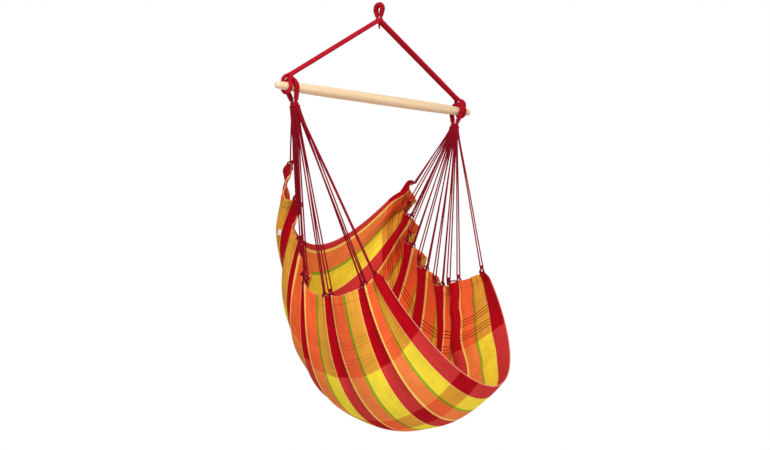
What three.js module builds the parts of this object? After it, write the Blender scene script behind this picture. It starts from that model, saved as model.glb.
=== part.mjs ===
// A hammock chair. A striped cotton seat cloth hangs on harness cords from two whipped rope eyes.
// The eyes sit on a turned beech spreader bar, and two doubled ropes carry the bar from one
// whipped hanging eye.
// Millimetres, +Z up. X runs along the bar and the sitter faces -Y.
// The origin is the top of the hole in the hanging eye, where the hook bears.
import * as THREE from "three";

// What touches keeps this clearance.
const touchGap = 0.3;

// Spreader bar: fullest in the middle, tapered to rounded tips.
const barOverhang = 72; // beyond the middle of each harness eye
const barMiddleDiameter = 37.5;
const barTipDiameter = 22.5;
const barTipRounding = 9;
const barTaperPower = 5;
const barDrop = 332; // the bar's axis below the hook

// Suspension rope: one doubled rope to each end of the bar.
const ropeDiameter = 11;
const ropeSpread = 18; // between the two runs where they pass over the harness eye

// Hanging eye and the knot under it.
const hookHoleWidth = 12;
const eyeDiameter = 20; // over the whipping, at the crown
const eyeFootDiameter = 14.5;
const eyeNeckDrop = 37; // hook to the end of the eye's legs
const knotRadius = 14.5;
const knotSink = 6; // the knot's flat top above its centre
const tailDiameter = 8; // cut end of the rope under the knot
const tailLength = 15;

// Harness eyes on the bar, and the binding at their neck. The cords pull them towards the middle.
const harnessEyeDiameter = 19;
const harnessFootDiameter = 17;
const harnessEyeReach = 428; // from the chair's middle, along the bar
const harnessNeckDrop = 51; // bar axis to the end of the eye's legs
const harnessLean = Math.PI / 14;
const bindingHeight = 13;
const bindingRibs = 3;
const bindingBulge = 1.2;

// Whipping cord wound round the eyes.
const whipThickness = 2.2;
const whipSelfGap = 0.5;
const hangingEyeTurns = 17;
const harnessEyeTurns = 22;

// Harness cords: each is one length, doubled through a hem loop.
const cordDiameter = 4;
const cordPitch = 5.1; // between neighbours under the binding
const cordColumns = 3;
const cordLead = 9; // straight run below the binding

// Hem lacing: loops stand out of the hem at both edges of each wide panel.
const lacingDiameter = 4;
const loopHeight = 17;
const loopWidth = 20;
const cornerInset = 42; // the outermost loops from the corners of the cloth
const foreShift = 18; // the foremost crossing of a red stripe starts this much further forward

// Seat cloth. Its width runs across the stripes, from the back edge to the front edge: a red stripe,
// then a wide panel of orange, green and yellow, and so on to the last red stripe.
const panelCount = 6;
const panelWidth = 150;
const redWidth = 65;
const clothThickness = 2.4;
const hemThickness = 5;
const hemWidth = 34;
// The same along the gathered hem, where panels stand out as folds and the red between them sinks in.
const hemPanelSpan = 70;
const hemRedSpan = 45;
const hemEdgeSpan = 50;
const panelFold = 56;
const redFold = 24;
const edgeFold = 22;
const foldLean = 40; // how far a fold of the left hem leans to the front
const foldFade = 1.7;
const hemHalfSpan = 326;
const hemBack = 142;
const hemFront = 276;
const hemTop = 245; // back corners below the bar's axis
const hemDepth = 427;
const seatBack = 322;
const seatFront = 536;
const seatTop = 516; // middle of the back edge below the bar's axis
const seatDepth = 674;

// Blank label sewn into the left hem.
const labelLength = 18;
const labelWidth = 12;
const labelThickness = 1;
const labelPanel = 2; // counted from the back edge

// The centre profile of the seat and the line of the hem, from the back edge to the front edge:
// shares of the distance from back to front, and of the depth.
const seatProfileShares = [
  [0, 0], [-0.014, 0.193], [-0.005, 0.386], [0.033, 0.564], [0.108, 0.727], [0.219, 0.868],
  [0.359, 0.962], [0.51, 0.995], [0.674, 0.968], [0.825, 0.9], [0.935, 0.805], [1, 0.734],
];
const rightHemShares = [
  [0, 0], [-0.005, 0.2], [0.02, 0.42], [0.04, 0.6], [0.11, 0.72], [0.21, 0.83],
  [0.31, 0.945], [0.46, 1], [0.6, 0.972], [0.8, 0.915], [1, 0.871],
];
// The left hem hangs lower along the bottom.
const leftHemShares = [
  [0, 0], [-0.005, 0.2], [0.03, 0.42], [0.05, 0.62], [0.11, 0.78], [0.19, 0.95],
  [0.33, 1.05], [0.5, 1.09], [0.65, 1.08], [0.82, 1.02], [1, 0.9],
];
const hemSpanShares = [1, 0.955, 0.93, 0.92, 0.915, 0.91, 0.905, 0.905];
// How square the cloth hangs, from the back edge to the front edge: 2 is a parabola, 1 an ellipse.
const hangShares = [2, 1.3, 0.95, 0.85, 0.85, 0.95, 1.15, 1.4];
// How much of the hem each stripe takes up, from the back to the front.
const leftSpanShares = [1, 1, 1, 1, 1, 1, 1, 1.2, 0.9, 1.5, 0.9, 0.7, 0.7];
const rightSpanShares = [1, 1, 1, 1, 1, 1, 1, 1, 1, 0.43, 1, 1.57, 1];
// How far each wide panel stands out of the gathered hem, from the back to the front.
const leftFoldShares = [0.4, 1, 1, 0.85, 0.7, 1];
const leftLeanShares = [0, 0, 0, 1, 1, 0];
const leftSkewShares = [1, 1, 1, 1.4, 1.5, 1]; // over 1, the fold is fullest towards the front
const rightFoldShares = [0.8, 1, 1, 1, 1, 0.12];
// The front of the right wall is drawn in: how far from the middle of the seat to the hem.
const rightPull = 66;
const rightPullShares = [0, 0.1, 0.62, 1, 0.62, 0];

// Facets.
const tubeSides = 8;
const cordSides = 5;
const whipSides = 5;
const whipSteps = 8;
const panelSteps = 5;
const redSteps = 3;
const edgeSteps = 2;
const loopSteps = 6;

const up = new THREE.Vector3(0, 0, 1);
const alongBar = new THREE.Vector3(1, 0, 0);
const vec = (x, y, z) => new THREE.Vector3(x, y, z);

// A closed solid through rings of equal numbers of points, capped at both ends.
function loft(rings) {
  const count = rings[0].length;
  const points = rings.flat();
  const faces = [];
  for (let i = 0; i + 1 < rings.length; i++) {
    for (let j = 0; j < count; j++) {
      const a = i * count + j;
      const b = i * count + ((j + 1) % count);
      faces.push([a, b, b + count], [a, b + count, a + count]);
    }
  }
  const last = (rings.length - 1) * count;
  for (let j = 1; j + 1 < count; j++) {
    faces.push([0, j + 1, j], [last, last + j, last + j + 1]);
  }
  return solid(points, faces);
}

// A geometry from points and faces, turned so that its faces point out.
function solid(points, faces) {
  const volume = faces.reduce((sum, [a, b, c]) => {
    return sum + points[a].dot(points[b].clone().cross(points[c]));
  }, 0);
  const index = faces.flatMap(([a, b, c]) => (volume > 0 ? [a, b, c] : [a, c, b]));
  const geometry = new THREE.BufferGeometry().setFromPoints(points);
  geometry.setIndex(index);
  geometry.computeVertexNormals();
  return geometry;
}

// Unit tangents of a run of points: each is square to the bisector of its two segments.
function tangents(points) {
  return points.map((p, i) => {
    const before = points[Math.max(i - 1, 0)];
    const after = points[Math.min(i + 1, points.length - 1)];
    const into = p.clone().sub(before).normalize();
    const out = after.clone().sub(p).normalize();
    return into.add(out).normalize();
  });
}

// A round tube along a run of points. Its section is carried along without twisting, and widened
// at each bend so that the runs between bends keep their thickness.
function tube(points, diameter, sides = tubeSides) {
  const along = tangents(points);
  let side = Math.abs(along[0].z) > Math.abs(along[0].x) ? alongBar.clone() : up.clone();
  const rings = points.map((p, i) => {
    side = side.clone().addScaledVector(along[i], -side.dot(along[i])).normalize();
    const other = along[i].clone().cross(side);
    const next = points[Math.min(i + 1, points.length - 1)];
    const last = points[Math.max(i - 1, 0)];
    const run = (i + 1 < points.length ? next.clone().sub(p) : p.clone().sub(last)).normalize();
    const stretch = 1 / Math.max(run.dot(along[i]), 0.5);
    const bend = run.clone().addScaledVector(along[i], -run.dot(along[i]));
    const bends = bend.lengthSq() > 1e-9;
    if (bends) bend.normalize();
    return Array.from({ length: sides }, (_, j) => {
      const angle = (2 * Math.PI * (j + 0.5)) / sides;
      const spoke = side.clone().multiplyScalar(Math.cos(angle)).addScaledVector(other, Math.sin(angle));
      if (bends) spoke.addScaledVector(bend, spoke.dot(bend) * (stretch - 1));
      return p.clone().addScaledVector(spoke, diameter / 2);
    });
  });
  return loft(rings);
}

const root = new THREE.Group();
root.name = "hammock_chair";
const cottonRed = new THREE.MeshStandardMaterial({ color: 0xa80f24, roughness: 0.85, metalness: 0 });
const cottonCloth = new THREE.MeshStandardMaterial({ color: 0xe0662c, roughness: 0.9, metalness: 0 });
const beech = new THREE.MeshStandardMaterial({ color: 0xdcb483, roughness: 0.5, metalness: 0 });
const tape = new THREE.MeshStandardMaterial({ color: 0xe9e6df, roughness: 0.8, metalness: 0 });

function add(name, geometry, material, parent = root) {
  const mesh = new THREE.Mesh(geometry, material);
  mesh.name = name;
  parent.add(mesh);
  return mesh;
}

// Everything below the ropes is drawn from the bar's axis.
const below = new THREE.Group();
below.position.z = -barDrop;
root.add(below);

// Spreader bar

const barHalf = harnessEyeReach + barOverhang;
const barTipRadius = barTipDiameter / 2;

function barRadius(reach) {
  const swell = (barMiddleDiameter - barTipDiameter) / 2;
  return barMiddleDiameter / 2 - swell * (Math.abs(reach) / barHalf) ** barTaperPower;
}

function spreaderBar() {
  const bodySteps = 9;
  const tipSteps = 4;
  const half = [];
  const tipStart = barHalf - barTipRounding;
  for (let i = 0; i <= bodySteps; i++) {
    const reach = tipStart * Math.sin((Math.PI / 2) * (i / bodySteps));
    half.push([barRadius(reach), reach]);
  }
  const shoulder = barRadius(tipStart);
  for (let i = 1; i <= tipSteps; i++) {
    const angle = (Math.PI / 2) * (i / tipSteps);
    const flat = shoulder - barTipRounding;
    const radius = flat + barTipRounding * Math.cos(angle);
    half.push([radius, tipStart + barTipRounding * Math.sin(angle)]);
  }
  half.push([0, barHalf]);
  const outline = [...half.slice(1).reverse().map(([r, x]) => [r, -x]), ...half];
  const profile = outline.map(([r, x]) => new THREE.Vector2(r, x));
  const turned = new THREE.LatheGeometry(profile, 20);
  turned.rotateZ(-Math.PI / 2);
  return turned;
}
add("spreader_bar", spreaderBar(), beech, below);

// Whipped eyes: a rope core bent into a teardrop in the YZ plane, with cord wound round it.
// The path runs from one leg's foot over the crown to the other. The legs thin towards their feet.

function eyePath(crownRadius, crownHeight, footHeight, crownDiameter, footDiameter) {
  const foot = new THREE.Vector2((footDiameter + touchGap) / 2, footHeight - crownHeight);
  const tangentAngle = Math.atan2(foot.y, foot.x) + Math.acos(crownRadius / foot.length());
  const touch = new THREE.Vector2(Math.cos(tangentAngle), Math.sin(tangentAngle));
  touch.multiplyScalar(crownRadius);
  const leg = foot.distanceTo(touch);
  const length = 2 * leg + crownRadius * (Math.PI - 2 * tangentAngle);
  function at(distance) {
    const nearer = Math.min(distance, length - distance);
    const share = Math.min(nearer / leg, 1);
    let outward = touch.clone().normalize();
    let flat = foot.clone().lerp(touch, share);
    if (nearer > leg) {
      const angle = tangentAngle + (nearer - leg) / crownRadius;
      outward = new THREE.Vector2(Math.cos(angle), Math.sin(angle));
      flat = outward.clone().multiplyScalar(crownRadius);
    }
    const mirror = distance > length / 2 ? -1 : 1;
    return {
      point: vec(0, mirror * flat.x, flat.y + crownHeight),
      outward: vec(0, mirror * outward.x, outward.y),
      diameter: THREE.MathUtils.lerp(footDiameter, crownDiameter, share),
    };
  }
  return { at, leg, length };
}

// The core's corners clear the whipping, whose turns have corners too.
const cornerShare = Math.cos(Math.PI / tubeSides);
const coreRadius = (diameter) => (cornerShare * (diameter - whipThickness) - whipThickness) / 2 - touchGap;

function eyeCore(path) {
  const bends = 12;
  const stops = [0, ...Array.from({ length: bends + 1 }, (_, i) => {
    return path.leg + ((path.length - 2 * path.leg) * i) / bends;
  }), path.length];
  const rings = stops.map((distance) => {
    const { point, outward, diameter } = path.at(distance);
    return Array.from({ length: tubeSides }, (_, j) => {
      const angle = (2 * Math.PI * (j + 0.5)) / tubeSides;
      const spoke = outward.clone().multiplyScalar(Math.cos(angle));
      spoke.addScaledVector(alongBar, Math.sin(angle));
      return point.clone().addScaledVector(spoke, coreRadius(diameter));
    });
  });
  return loft(rings);
}

// One unbroken cord wound round the core. Each turn is as wide as its neighbours allow at that side
// of the bend, so the turns crowd inside the crown and open outside it, as a real whipping does.
function whipping(path, turns) {
  const margin = whipThickness;
  const pitch = (path.length - 2 * margin) / (turns + 1);
  const places = Array.from({ length: turns * whipSteps + 1 }, (_, i) => {
    const { point, outward, diameter } = path.at(margin + pitch / 2 + (pitch * i) / whipSteps);
    const angle = (2 * Math.PI * i) / whipSteps + Math.PI;
    const spoke = outward.clone().multiplyScalar(Math.cos(angle)).addScaledVector(alongBar, Math.sin(angle));
    const forward = alongBar.clone().cross(outward).normalize();
    return { centre: point.clone().addScaledVector(spoke, (diameter - whipThickness) / 2), spoke, forward };
  });
  const apart = (i, j) => (places[j] ? places[i].centre.distanceTo(places[j].centre) : pitch);
  const rings = places.map(({ centre, spoke, forward }, i) => {
    const width = Math.min(apart(i, i - whipSteps), apart(i, i + whipSteps)) - whipSelfGap;
    return Array.from({ length: whipSides }, (_, j) => {
      const turn = (2 * Math.PI * j) / whipSides;
      return centre.clone()
        .addScaledVector(spoke, (whipThickness / 2) * Math.cos(turn))
        .addScaledVector(forward, (width / 2) * Math.sin(turn));
    });
  });
  return { geometry: loft(rings), least: leastGap(rings) };
}

// The least distance between the corners of one turn and those of the next.
function leastGap(rings) {
  let least = Infinity;
  for (let i = 0; i + whipSteps < rings.length; i++) {
    for (const p of rings[i]) {
      for (const q of rings[i + whipSteps]) least = Math.min(least, p.distanceTo(q));
    }
  }
  return least;
}

function whippedEye(name, path, turns, parent) {
  const wound = whipping(path, turns);
  add(name + "_core", eyeCore(path), cottonRed, parent);
  add(name + "_whipping", wound.geometry, cottonRed, parent);
  console.log(name + "_whipping: least gap to itself " + wound.least.toFixed(2) + " mm");
}

// How far the foot of a leg's core reaches below the end of its path.
function footDip(path) {
  const { diameter, outward } = path.at(0);
  return coreRadius(diameter) * cornerShare * Math.abs(outward.z);
}

const hangingCrown = (hookHoleWidth + eyeDiameter) / 2;
const hangingPath = eyePath(hangingCrown, -hookHoleWidth / 2, -eyeNeckDrop, eyeDiameter, eyeFootDiameter);
whippedEye("hanging_eye", hangingPath, hangingEyeTurns, root);

// Knot: a wrapped ball with a flat top, on which the eye's legs stand. The ropes bend and twist
// round its centre.

const knotTop = -eyeNeckDrop - footDip(hangingPath) - touchGap;
const knotCentre = vec(0, 0, knotTop - knotSink);

function throatKnot() {
  const bands = 10;
  const ribDepthShare = 0.05;
  const startAngle = Math.asin(knotSink / knotRadius);
  const profile = [new THREE.Vector2(0, knotSink)];
  for (let i = 0; i <= bands; i++) {
    const angle = startAngle - (startAngle + Math.PI / 2) * (i / bands);
    const groove = i % 2 && i < bands ? 1 - ribDepthShare : 1;
    const radius = i < bands ? knotRadius * groove * Math.cos(angle) : 0;
    profile.push(new THREE.Vector2(radius, knotRadius * groove * Math.sin(angle)));
  }
  const turned = new THREE.LatheGeometry(profile.reverse(), 16);
  turned.rotateX(Math.PI / 2);
  return turned;
}
add("throat_knot", throatKnot(), cottonRed).position.copy(knotCentre);

// Cut end of the rope, which hangs out under the knot.
function ropeTail() {
  const aim = vec(-1, -1, -4).normalize();
  const start = knotCentre.clone().addScaledVector(aim, knotRadius + touchGap);
  return tube([start, start.clone().addScaledVector(aim, tailLength)], tailDiameter);
}
add("rope_tail", ropeTail(), cottonRed);

// Harness eyes. Each is drawn upright round the bar's axis, and leans out of its own plane.

const harnessInner = barRadius(harnessEyeReach - harnessEyeDiameter / 2) + touchGap;
const harnessCrown = (harnessInner + harnessEyeDiameter / 2) / Math.cos(harnessLean);
const harnessPath = eyePath(harnessCrown, 0, -harnessNeckDrop, harnessEyeDiameter, harnessFootDiameter);
const neckTop = -harnessNeckDrop - footDip(harnessPath) - touchGap;
const neckFoot = neckTop - bindingHeight;

function harnessStation(side) {
  const station = new THREE.Group();
  station.position.x = side * harnessEyeReach;
  station.rotation.y = side * harnessLean;
  station.updateMatrix();
  below.add(station);
  return station;
}
const stations = { [-1]: harnessStation(-1), [1]: harnessStation(1) };

// Binding: cord wound round both legs of a harness eye, a ribbed block with an oval plan.
function neckBinding() {
  const halfFlat = (harnessFootDiameter + touchGap) / 2;
  const arcSteps = 6;
  const levels = bindingRibs * 4;
  const rings = Array.from({ length: levels + 1 }, (_, i) => {
    const share = i / levels;
    const swell = bindingBulge * Math.sin(Math.PI * ((share * bindingRibs) % 1));
    const radius = harnessFootDiameter / 2 - bindingBulge / 2 + (i === 0 || i === levels ? 0 : swell);
    return [1, -1].flatMap((end) => Array.from({ length: arcSteps + 1 }, (_, j) => {
      const angle = Math.PI * (j / arcSteps) + (end > 0 ? 0 : Math.PI);
      return vec(radius * Math.cos(angle), end * halfFlat + radius * Math.sin(angle), -bindingHeight * share);
    }));
  });
  return loft(rings);
}

// Suspension ropes: each runs from the knot over the harness eye, round under the bar outside
// the eye, and back up. The places near the bar are given round the bar's axis.

const ropeRadius = ropeDiameter / 2;

function suspensionRope(side) {
  const eyeRadius = harnessEyeDiameter / 2;
  const crownReach = harnessEyeReach + harnessCrown * Math.sin(harnessLean);
  const crownHeight = harnessCrown * Math.cos(harnessLean);
  const overSteps = 3;
  const bow = (eyeRadius + touchGap + ropeRadius) / Math.cos(Math.PI / (4 * overSteps));
  const underSteps = 7;
  const flare = Math.PI / 5; // how far the runs spread from the crown of the eye to its side
  const sideAngle = Math.PI / 3;
  const nearBarShare = 0.75;
  const barClear = barRadius(crownReach + eyeRadius) + touchGap + ropeRadius;
  const low = barClear / Math.cos((Math.PI - sideAngle) / (2 * underSteps));
  const lean = Math.asin(ropeSpread / 2 / (crownHeight + bow));
  const places = [];
  for (let i = 0; i <= overSteps; i++) {
    const share = i / overSteps;
    const turn = (Math.PI / 2) * share;
    places.push([bow * Math.sin(turn), crownHeight + bow * Math.cos(turn), lean + share * flare]);
  }
  for (let i = 0; i <= underSteps; i++) {
    places.push([bow, low, sideAngle + (Math.PI - sideAngle) * (i / underSteps)]);
  }
  const front = places.map(([out, radius, angle]) => {
    return vec(side * (crownReach + out), -radius * Math.sin(angle), radius * Math.cos(angle) - barDrop);
  });
  const aim = front[0].clone().setY(0).sub(knotCentre).normalize();
  const start = knotCentre.clone().addScaledVector(aim, knotRadius + touchGap);
  start.y = -(ropeRadius + touchGap);
  const near = start.clone().lerp(front[0], nearBarShare);
  near.y = start.y - touchGap;
  front.unshift(start, near);
  const back = front.slice(0, -1).reverse().map((p) => vec(p.x, -p.y, p.z));
  return tube([...front, ...back], ropeDiameter);
}

// Seat cloth. u runs from the left hem at -1 to the right hem at 1, and w is the distance
// across the stripes from the back edge.

const clothWidth = panelCount * panelWidth + (panelCount + 1) * redWidth;
const stripes = Array.from({ length: 2 * panelCount + 1 }, (_, i) => {
  const start = Math.ceil(i / 2) * redWidth + Math.floor(i / 2) * panelWidth;
  const panel = i % 2 === 1;
  const edge = i === 0 || i === 2 * panelCount;
  const kind = panel
    ? { width: panelWidth, span: hemPanelSpan, steps: panelSteps }
    : { width: redWidth, span: edge ? hemEdgeSpan : hemRedSpan, steps: edge ? edgeSteps : redSteps };
  return { start, panel, number: Math.floor(i / 2), first: i === 0, last: i === 2 * panelCount, ...kind };
});
const stripeAt = (w) => stripes.findLast((stripe) => w >= stripe.start) ?? stripes[0];
const spans = {
  [-1]: stripes.map(({ span }, i) => span * leftSpanShares[i]),
  [1]: stripes.map(({ span }, i) => span * rightSpanShares[i]),
};
const sum = (values) => values.reduce((total, value) => total + value, 0);

// The share of the hem's line at which a place of the cloth is gathered.
function hemShare(side, w) {
  const here = stripeAt(w);
  const number = stripes.indexOf(here);
  const before = sum(spans[side].slice(0, number));
  return (before + (spans[side][number] * (w - here.start)) / here.width) / sum(spans[side]);
}

function curveOf(shares, from, to, top, depth) {
  const points = shares.map(([back, drop]) => vec(0, from + (to - from) * back, -top - depth * drop));
  const curve = new THREE.CatmullRomCurve3(points, false, "centripetal");
  curve.arcLengthDivisions = 400;
  return curve;
}
const seatProfile = curveOf(seatProfileShares, seatBack, -seatFront, seatTop, seatDepth);
const hemLines = {
  [-1]: curveOf(leftHemShares, hemBack, -hemFront, hemTop, hemDepth),
  [1]: curveOf(rightHemShares, hemBack, -hemFront, hemTop, hemDepth),
};

function blendShares(shares, share) {
  const place = THREE.MathUtils.clamp(share, 0, 1) * (shares.length - 1);
  const i = Math.min(Math.floor(place), shares.length - 2);
  return THREE.MathUtils.lerp(shares[i], shares[i + 1], THREE.MathUtils.smoothstep(place - i, 0, 1));
}

// A line of the cloth from the middle of the seat to a hem, measured along itself.
const hangSteps = 48;
const hangLines = { [-1]: new Map(), [1]: new Map() };
function hangLine(side, w) {
  const known = hangLines[side].get(w);
  if (known) return known;
  const gathered = hemShare(side, w);
  const spread = w / clothWidth;
  const hem = hemLines[side].getPointAt(gathered);
  hem.x = side * hemHalfSpan * blendShares(hemSpanShares, gathered);
  const middle = seatProfile.getPointAt(spread);
  const power = blendShares(hangShares, spread);
  const points = Array.from({ length: hangSteps + 1 }, (_, i) => {
    const angle = (Math.PI / 2) * (1 - i / hangSteps);
    const p = hem.clone().lerp(middle, Math.sin(angle) ** power);
    p.x = hem.x * Math.cos(angle);
    return p;
  });
  const lengths = [0];
  for (let i = 1; i < points.length; i++) lengths.push(lengths[i - 1] + points[i].distanceTo(points[i - 1]));
  const line = { points, lengths };
  hangLines[side].set(w, line);
  return line;
}

function smoothCloth(u, w) {
  const { points, lengths } = hangLine(u < 0 ? -1 : 1, THREE.MathUtils.clamp(w, 0, clothWidth));
  const distance = Math.abs(u) * lengths[hangSteps];
  const i = Math.max(1, lengths.findIndex((length) => length >= distance - 1e-9));
  const part = (distance - lengths[i - 1]) / (lengths[i] - lengths[i - 1]);
  return points[i - 1].clone().lerp(points[i], part);
}

// The unit normal of a surface over u and w, pointing out of the seat, and its way to the front.
function frameOf(surface, u, w) {
  const du = 0.05;
  const widthStepShare = 0.005;
  const dw = widthStepShare * clothWidth;
  const across = surface(u, Math.min(w + dw, clothWidth)).sub(surface(u, Math.max(w - dw, 0)));
  const alongStripes = surface(Math.min(u + du, 1), w).sub(surface(Math.max(u - du, -1), w));
  return { normal: alongStripes.cross(across).normalize(), forward: across.normalize() };
}
const normalOf = (surface, u, w) => frameOf(surface, u, w).normal;

// How far the gathered cloth stands out of its smooth surface. The folds fade towards the middle.
function foldOut(u, w) {
  const here = stripeAt(w);
  const part = (w - here.start) / here.width;
  let out = -redFold * Math.sin(Math.PI * part);
  if (here.panel) {
    const foldShares = u < 0 ? leftFoldShares : rightFoldShares;
    const skew = u < 0 ? leftSkewShares[here.number] : 1;
    out = panelFold * foldShares[here.number] * Math.sin(Math.PI * part ** skew);
  }
  if (here.first) out = -edgeFold * Math.cos((Math.PI / 2) * part);
  if (here.last) out = -edgeFold * Math.sin((Math.PI / 2) * part);
  return out * Math.abs(u) ** foldFade - drawnIn(u, w);
}

// How far the right wall is drawn in, over its last two panels and the red beside them.
function drawnIn(u, w) {
  const from = stripes[2 * panelCount - 4].start;
  if (u < 0 || w < from) return 0;
  return rightPull * Math.sin((Math.PI * (w - from)) / (clothWidth - from)) * blendShares(rightPullShares, u);
}

// How far a fold leans to the front.
function leanOut(u, w) {
  const here = stripeAt(w);
  if (u >= 0 || !here.panel) return 0;
  const part = (w - here.start) / here.width;
  return foldLean * leftLeanShares[here.number] * Math.sin(Math.PI * part) * Math.abs(u) ** foldFade;
}

function cloth(u, w) {
  const { normal, forward } = frameOf(smoothCloth, u, w);
  return smoothCloth(u, w)
    .addScaledVector(normal, foldOut(u, w))
    .addScaledVector(forward, leanOut(u, w));
}

// The cloth's grid: lines between the hems, and lines along the stripes. A row gives u at a place w.
// The rows at a hem lie at shares of its width from its edge.
const hemRowShares = [0, 1, 1.2];
const middleRows = 8;
function hemRow(side, share) {
  return (w) => side * (1 - (share * hemWidth) / hangLine(side, w).lengths[hangSteps]);
}
const rows = [
  ...hemRowShares.map((share) => hemRow(-1, share)),
  ...Array.from({ length: middleRows - 1 }, (_, i) => () => (2 * (i + 1)) / middleRows - 1),
  ...hemRowShares.toReversed().map((share) => hemRow(1, share)),
];
const columns = stripes.flatMap(({ start, width, steps }) => {
  return Array.from({ length: steps }, (_, i) => start + (width * i) / steps);
});
columns.push(clothWidth);

function seatCloth() {
  const skins = [1, -1].map((face) => rows.map((row, i) => columns.map((w) => {
    const hemmed = i < 2 || i > rows.length - 3;
    const thickness = hemmed ? hemThickness : clothThickness;
    return cloth(row(w), w).addScaledVector(normalOf(cloth, row(w), w), (face * thickness) / 2);
  })));
  const points = skins.flat(2);
  const count = columns.length;
  const inner = rows.length * count;
  const at = (i, j) => i * count + j;
  const faces = [];
  const quad = (a, b, c, d) => faces.push([a, b, c], [a, c, d]);
  for (let i = 0; i + 1 < rows.length; i++) {
    for (let j = 0; j + 1 < count; j++) {
      const [a, b, c, d] = [at(i, j), at(i, j + 1), at(i + 1, j + 1), at(i + 1, j)];
      quad(a, b, c, d);
      faces.push([a + inner, c + inner, b + inner], [a + inner, d + inner, c + inner]);
    }
    quad(at(i, 0), at(i + 1, 0), at(i + 1, 0) + inner, at(i, 0) + inner);
    const j = count - 1;
    quad(at(i + 1, j), at(i, j), at(i, j) + inner, at(i + 1, j) + inner);
  }
  const end = rows.length - 1;
  for (let j = 0; j + 1 < count; j++) {
    quad(at(0, j + 1), at(0, j), at(0, j) + inner, at(0, j + 1) + inner);
    quad(at(end, j), at(end, j + 1), at(end, j + 1) + inner, at(end, j) + inner);
  }
  return solid(points, faces);
}
add("seat_cloth", seatCloth(), cottonCloth, below);

// A row of the hem as the grid makes it: straight between the lines along the stripes.
function hemPlace(side, w, share) {
  const j = Math.min(Math.max(columns.findLastIndex((column) => column <= w), 0), columns.length - 2);
  const part = (w - columns[j]) / (columns[j + 1] - columns[j]);
  const [from, to] = [columns[j], columns[j + 1]].map((column) => cloth(hemRow(side, share)(column), column));
  return from.lerp(to, part);
}
const hemEdge = (side, w) => hemPlace(side, w, 0);

// Hem lacing. A loop is an arch that stands on the hem's edge, over the place where a panel meets
// the red beside it, and leans towards the binding that its cord comes from.

const loopPlaces = stripes.filter(({ panel }) => panel).flatMap(({ start, width }) => [start, start + width]);
loopPlaces[0] = cornerInset;
loopPlaces[loopPlaces.length - 3] += foreShift;
loopPlaces[loopPlaces.length - 2] += foreShift / 2;
loopPlaces[loopPlaces.length - 1] = clothWidth - cornerInset;
const lacingRise = (lacingDiameter + hemThickness) / 2 + touchGap;
const neckOf = (side) => vec(0, 0, neckFoot).applyMatrix4(stations[side].matrix);

// The frame of the hem's edge: along it, off the end of the cloth, and half way to the binding.
function hemFrame(side, w) {
  const reach = loopWidth / 2;
  const along = hemEdge(side, w + reach).sub(hemEdge(side, w - reach)).normalize();
  const square = (v) => v.addScaledVector(along, -v.dot(along)).normalize();
  const off = square(hemEdge(side, w).sub(hemPlace(side, w, 1)));
  const aim = square(neckOf(side).sub(hemEdge(side, w))).add(off).normalize();
  return { along, off, aim };
}

function loopArch(side, w) {
  const { off, aim } = hemFrame(side, w);
  return Array.from({ length: loopSteps + 1 }, (_, i) => {
    const angle = Math.PI * (1 - i / loopSteps);
    const foot = hemEdge(side, w + (loopWidth / 2) * Math.cos(angle)).addScaledVector(off, lacingRise);
    return foot.addScaledVector(aim, (loopHeight - lacingRise) * Math.sin(angle));
  });
}

// One length of lacing comes out of the hem, crosses a red stripe from the loop at one panel to the
// loop at the next, and goes back in.
function hemLacing(side, from, to) {
  const reach = loopWidth / 2;
  const footClear = 3 * touchGap;
  const edge = (w, rise) => hemEdge(side, w).addScaledVector(hemFrame(side, w).off, rise);
  const run = columns.filter((w) => w > from + reach && w < to - reach);
  const crossing = run.map((w) => edge(w, lacingDiameter + hemThickness));
  const first = loopArch(side, from);
  const loops = to > from ? [...first, ...crossing, ...loopArch(side, to)] : first;
  const route = [edge(from - reach, footClear), ...loops, edge(to + reach, footClear)];
  return tube(route, lacingDiameter, cordSides);
}

// Harness cords. Each comes down from the binding, turns round the top of its hem loop and goes
// back up. The cords leave the binding in rows, in the same order as their loops.

const slotRows = (4 * panelCount) / cordColumns;
function slot(side, number, drop) {
  const row = Math.floor(number / cordColumns);
  const column = (number % cordColumns) - (cordColumns - 1) / 2;
  const place = vec(side * column * cordPitch, ((slotRows - 1) / 2 - row) * cordPitch, neckFoot - drop);
  return place.applyMatrix4(stations[side].matrix);
}

function harnessCord(side, number) {
  const w = loopPlaces[number];
  const { along, aim } = hemFrame(side, w);
  const across = aim.clone().cross(along);
  const apex = loopArch(side, w)[loopSteps / 2];
  const turnSteps = 4;
  const clear = (cordDiameter + lacingDiameter) / 2 + 3 * touchGap;
  const bend = clear / Math.cos(Math.PI / (2 * turnSteps));
  const turn = Array.from({ length: turnSteps + 1 }, (_, i) => {
    const angle = Math.PI * (i / turnSteps);
    return apex.clone()
      .addScaledVector(across, bend * Math.cos(angle))
      .addScaledVector(aim, -bend * Math.sin(angle));
  });
  const [first, second] = [2 * number, 2 * number + 1];
  const [firstLead, secondLead] = [slot(side, first, cordLead), slot(side, second, cordLead)];
  if (firstLead.clone().sub(secondLead).dot(across) < 0) turn.reverse();
  const route = [slot(side, first, touchGap), firstLead, ...turn, secondLead, slot(side, second, touchGap)];
  return tube(route, cordDiameter, cordSides);
}

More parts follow.
